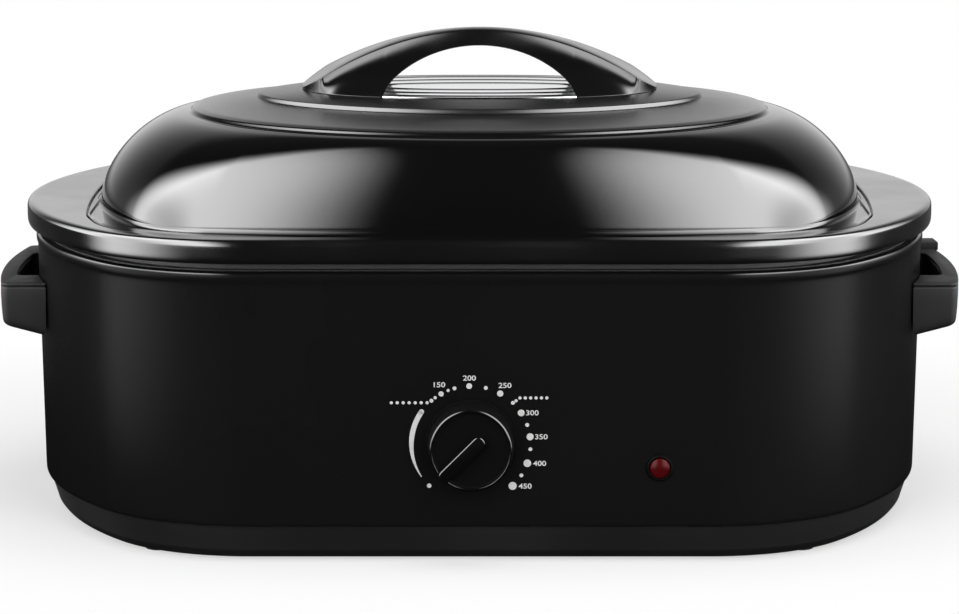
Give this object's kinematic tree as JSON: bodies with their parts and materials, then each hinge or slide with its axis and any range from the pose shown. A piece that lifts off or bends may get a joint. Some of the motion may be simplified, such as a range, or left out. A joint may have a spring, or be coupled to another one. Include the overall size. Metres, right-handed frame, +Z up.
{
  "type": "electric roaster oven",
  "caption": "Electric roaster oven: painted body with a heated well, lift-out roasting pan and wire rack, domed lift-off lid with an arched handle, side handles and a control knob.",
  "frame": {"origin": "on the table, under the middle of the oven's box", "axes": "+Z up, +X along the width to the viewer's right, -Y towards the side with the control knob"},
  "size_m": [0.602, 0.4535, 0.2988],
  "materials": {
    "body_paint": "semi-gloss black enamel paint",
    "base_plastic": "moulded black plastic, satin",
    "handle_plastic": "moulded dark grey plastic, matt",
    "knob_plastic": "black plastic",
    "grip_plastic": "glossy black plastic",
    "lid_enamel": "glossy black enamel",
    "pan_enamel": "black non-stick enamel",
    "polished_plate": "polished, pressed ripples",
    "well_steel": "aluminised steel",
    "plated_steel": "zinc plated",
    "rack_wire": "chromed wire",
    "foot_rubber": "black rubber",
    "glass_fibre": "glass-fibre mat",
    "heater_steel": "heat-darkened sheath",
    "white_ceramic": "unglazed",
    "brass": "turned",
    "lens_red": "clear red",
    "lamp_glass": "clear",
    "lead_sleeve": "silicone sleeve"
  },
  "bodies": {
    "housing": {"base_ring": "base_plastic", "bottom_plate": "plated_steel", "rubber_feet": "foot_rubber", "plate_screws": "plated_steel", "outer_wall": "body_paint", "inner_liner": "well_steel", "liner_posts": "plated_steel", "post_screws": "plated_steel", "insulation_wrap": "glass_fibre", "heating_element": "heater_steel", "element_clips": "plated_steel", "element_terminals": "white_ceramic", "thermostat_body": "white_ceramic", "thermostat_bush": "brass", "thermostat_nut": "plated_steel", "thermostat_bracket": "plated_steel", "thermal_fuse": "white_ceramic", "lamp_lens": "lens_red", "lamp_bezel": "knob_plastic", "neon_lamp": "lamp_glass", "terminal_block": "white_ceramic", "mains_leads": "lead_sleeve", "element_leads": "lead_sleeve", "lamp_leads": "lead_sleeve", "earth_screw": "brass", "cord_gland": "base_plastic", "gland_nut": "plated_steel", "left_handle": "handle_plastic", "right_handle": "handle_plastic", "left_handle_cap": "handle_plastic", "right_handle_cap": "handle_plastic", "handle_brackets": "plated_steel", "handle_screws": "plated_steel"},
    "knob": {"control_shaft": "plated_steel", "control_knob": "knob_plastic", "knob_spring": "plated_steel"},
    "pan": {"roasting_pan": "pan_enamel"},
    "rack": {"wire_rack": "rack_wire"},
    "lid": {"lid_shell": "lid_enamel", "handle_plate": "polished_plate", "lid_handle": "grip_plastic", "lid_washers": "plated_steel", "lid_screws": "plated_steel"}
  },
  "joints": [
    {"name": "knob_turn", "type": "hinge", "parent": "housing", "child": "knob", "pos_m": [-0.005, -0.215, 0.072], "axis": [0, 1, 0], "range_deg": [0, 270]},
    {"name": "pan_lift", "type": "slide", "parent": "housing", "child": "pan", "axis": [0, 0, 1], "range_m": [0, 0.2]},
    {"name": "lid_lift", "type": "slide", "parent": "pan", "child": "lid", "axis": [0, 0, 1], "range_m": [0, 0.3]},
    {"name": "rack_lift", "type": "slide", "parent": "pan", "child": "rack", "axis": [0, 0, 1], "range_m": [0, 0.15]}
  ],
  "couplings": [
    {"joint": "rack_lift", "follows": "lid_lift", "ratio": 0.5}
  ]
}
